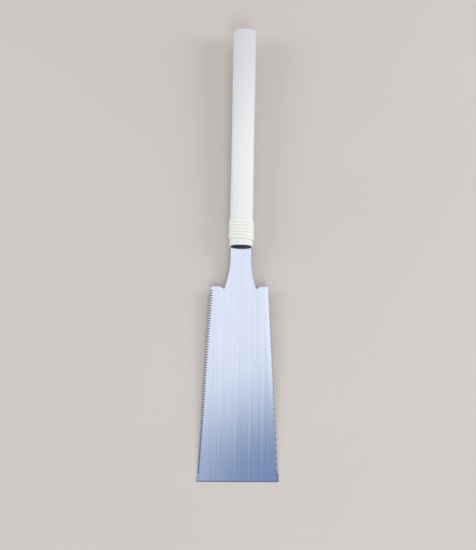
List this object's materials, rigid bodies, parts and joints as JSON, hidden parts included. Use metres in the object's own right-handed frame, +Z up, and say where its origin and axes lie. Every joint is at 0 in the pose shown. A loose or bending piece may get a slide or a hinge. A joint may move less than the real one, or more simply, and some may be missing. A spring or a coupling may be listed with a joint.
{
  "type": "ryoba saw",
  "caption": "Double-edged pull saw: thin flared steel blade with opposed crosscut and rip tooth edges, sliding into a straight oval wooden handle bound with cane at the mouth.",
  "frame": {"origin": "on the resting surface, under the middle of the saw's box; the saw lies front face up on its toe edge and its binding", "axes": "+Y along the saw from the toe to the butt of the handle (the saw's own axis rises 2.4 degrees along it), +Z up out of the front face, +X to the right with the rip teeth, crosscut teeth on -X"},
  "size_m": [0.0992, 0.599, 0.0369],
  "materials": {
    "blade_steel": "lengthwise brushed, bluish sheen",
    "wood": "bare planed white wood, fine straight grain",
    "cane": "smooth split cane, satin",
    "dark_insert": "dark matt moulding",
    "holder_steel": "plain rolled sheet",
    "rivet_steel": "turned and peened",
    "spring_steel": "tempered blue"
  },
  "bodies": {
    "blade": {"blade": "blade_steel"},
    "handle": {"handle_front_half": "wood", "handle_back_half": "wood", "binding": "cane", "mouth_insert_front": "dark_insert", "mouth_insert_back": "dark_insert", "holder_front_cheek": "holder_steel", "holder_back_cheek": "holder_steel", "holder_left_spacer": "holder_steel", "holder_right_spacer": "holder_steel", "holder_rivet_1": "rivet_steel", "holder_rivet_2": "rivet_steel", "holder_rivet_3": "rivet_steel", "holder_rivet_4": "rivet_steel", "hook_pin": "rivet_steel", "leaf_spring": "spring_steel", "spring_rivet": "rivet_steel"}
  },
  "joints": [
    {"name": "handle_slide", "type": "slide", "parent": "blade", "child": "handle", "axis": [0, 0.9991, 0.0415], "range_m": [0, 0.066]}
  ]
}
